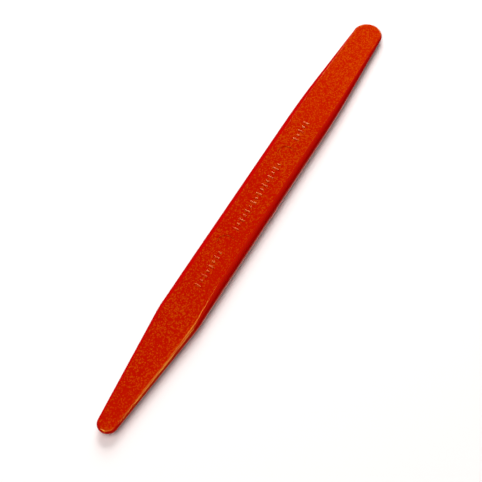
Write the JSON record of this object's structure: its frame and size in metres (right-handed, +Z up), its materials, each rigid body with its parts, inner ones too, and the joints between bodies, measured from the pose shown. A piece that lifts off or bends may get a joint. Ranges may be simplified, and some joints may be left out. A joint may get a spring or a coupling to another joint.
{
  "type": "spudger tool",
  "caption": "Flat double-ended plastic opening stick with a narrow rounded blade and a wide rounded blade, for prying apart snap-fit cases and lifting small connectors.",
  "frame": {"origin": "centre of the stick's box at the surface it rests on", "axes": "+X along the stick towards the wide blade, +Y across it, +Z up, out of the marked face"},
  "size_m": [0.15, 0.0121, 0.0039],
  "materials": {
    "red_plastic": "moulded red plastic, fine spark-eroded grain on the faces, smooth gloss on the edges"
  },
  "bodies": {
    "root": {"opening_stick": "red_plastic"}
  },
  "joints": []
}
